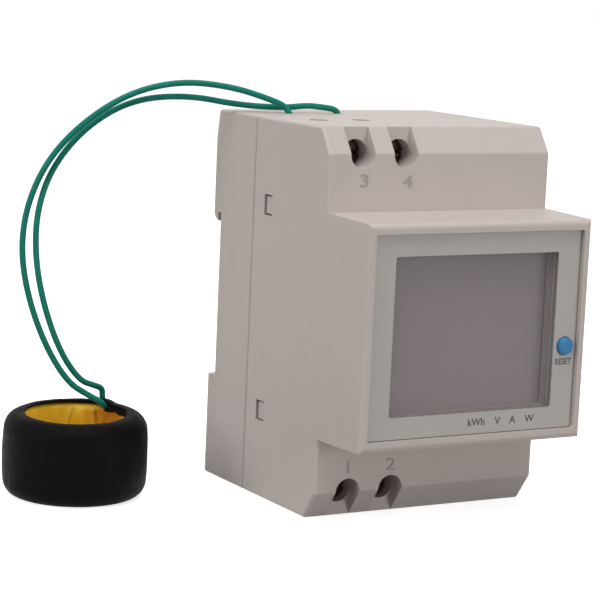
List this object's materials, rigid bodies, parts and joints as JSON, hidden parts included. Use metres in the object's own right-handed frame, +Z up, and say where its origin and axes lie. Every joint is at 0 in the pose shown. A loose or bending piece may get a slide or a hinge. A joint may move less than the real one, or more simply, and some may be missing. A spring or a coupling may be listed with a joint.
{
  "type": "din rail energy meter",
  "caption": "Modular rail-mounted energy meter with a raised display hood, a blue reset button, open screw notches, and a ring current transformer on two thin leads.",
  "frame": {"origin": "centre of the case's lower face", "axes": "+X to the right seen from the front, -Y out of the front, +Y towards the rail, +Z up"},
  "size_m": [0.1034, 0.0699, 0.086],
  "materials": {
    "case": "warm light grey, satin with a fine grain",
    "label": "printed grey film, satin",
    "pane": "clear, polished",
    "display": "grey display, switched off",
    "display_frame": "black, moulded",
    "light_guide": "milky",
    "tinned": "tinned",
    "board": "green solder resist",
    "zinc_screw": "zinc plated",
    "zinc_cage": "zinc plated",
    "copper_bar": "copper, pressed",
    "chip": "black moulding compound",
    "button": "blue, polished",
    "switch": "black, moulded",
    "plunger": "ivory, moulded",
    "pins": "gold flashed",
    "film_box": "yellow box",
    "can_sleeve": "dark printed sleeve over a can",
    "resistor": "lacquered",
    "varistor": "blue lacquer",
    "connector": "white, moulded",
    "latch": "warm light grey, satin",
    "spring": "spring wire",
    "sleeve": "black shrink sleeve, satin",
    "tape": "yellow film tape",
    "coil": "enamelled copper wire",
    "core": "wound strip",
    "lead": "green insulation"
  },
  "bodies": {
    "case": {"front_cover": "case", "rear_base": "case", "front_label": "label", "front_pane": "pane", "lcd_glass": "display", "lcd_frame": "display_frame", "lcd_backlight": "light_guide", "lcd_pins": "tinned", "display_board": "board", "power_board": "board", "display_board_screws": "zinc_screw", "power_board_screws": "zinc_screw", "busbar_1": "copper_bar", "busbar_2": "copper_bar", "busbar_3": "copper_bar", "busbar_4": "copper_bar", "main_chip": "chip", "metering_chip": "chip", "rectifier": "chip", "reset_switch": "switch", "header_strip": "switch", "header_socket": "switch", "header_pins": "pins", "film_capacitor": "film_box", "bulk_capacitor": "can_sleeve", "output_capacitor": "can_sleeve", "burden_resistor": "resistor", "fuse_resistor": "resistor", "varistor": "varistor", "ct_connector": "connector", "latch_spring": "spring", "ct_sleeve": "sleeve", "ct_tape": "tape", "ct_winding": "coil", "ct_core": "core", "ct_wire_a": "lead", "ct_wire_b": "lead"},
    "button": {"reset_button": "button", "switch_plunger": "plunger"},
    "latch": {"rail_latch": "latch"},
    "screw_1": {"terminal_screw_1": "zinc_screw"},
    "cage_1": {"terminal_cage_1": "zinc_cage"},
    "screw_2": {"terminal_screw_2": "zinc_screw"},
    "cage_2": {"terminal_cage_2": "zinc_cage"},
    "screw_3": {"terminal_screw_3": "zinc_screw"},
    "cage_3": {"terminal_cage_3": "zinc_cage"},
    "screw_4": {"terminal_screw_4": "zinc_screw"},
    "cage_4": {"terminal_cage_4": "zinc_cage"}
  },
  "joints": [
    {"name": "reset_press", "type": "slide", "parent": "case", "child": "button", "axis": [0, 1, 0], "range_m": [0, 0.0004], "stiffness_N_per_m": 900, "springref_m": -0.0001},
    {"name": "latch_release", "type": "slide", "parent": "case", "child": "latch", "axis": [0, 0, -1], "range_m": [0, 0.003], "stiffness_N_per_m": 2000, "springref_m": -0.0008, "deforming": ["latch_spring"]},
    {"name": "screw_1_turn", "type": "hinge", "parent": "case", "child": "screw_1", "pos_m": [-0.01865, 0, 0.0056], "axis": [0, 1, 0], "range_deg": [0, 2700]},
    {"name": "cage_1_lift", "type": "slide", "parent": "case", "child": "cage_1", "axis": [0, -1, 0], "range_m": [0, 0.00375]},
    {"name": "screw_2_turn", "type": "hinge", "parent": "case", "child": "screw_2", "pos_m": [-0.00855, 0, 0.0056], "axis": [0, 1, 0], "range_deg": [0, 2700]},
    {"name": "cage_2_lift", "type": "slide", "parent": "case", "child": "cage_2", "axis": [0, -1, 0], "range_m": [0, 0.00375]},
    {"name": "screw_3_turn", "type": "hinge", "parent": "case", "child": "screw_3", "pos_m": [-0.01865, 0, 0.0741], "axis": [0, 1, 0], "range_deg": [0, 2700]},
    {"name": "cage_3_lift", "type": "slide", "parent": "case", "child": "cage_3", "axis": [0, -1, 0], "range_m": [0, 0.00375]},
    {"name": "screw_4_turn", "type": "hinge", "parent": "case", "child": "screw_4", "pos_m": [-0.00855, 0, 0.0741], "axis": [0, 1, 0], "range_deg": [0, 2700]},
    {"name": "cage_4_lift", "type": "slide", "parent": "case", "child": "cage_4", "axis": [0, -1, 0], "range_m": [0, 0.00375]}
  ],
  "couplings": [
    {"joint": "screw_1_turn", "follows": "cage_1_lift", "rad_per_m": 12566},
    {"joint": "screw_2_turn", "follows": "cage_2_lift", "rad_per_m": 12566},
    {"joint": "screw_3_turn", "follows": "cage_3_lift", "rad_per_m": 12566},
    {"joint": "screw_4_turn", "follows": "cage_4_lift", "rad_per_m": 12566}
  ]
}
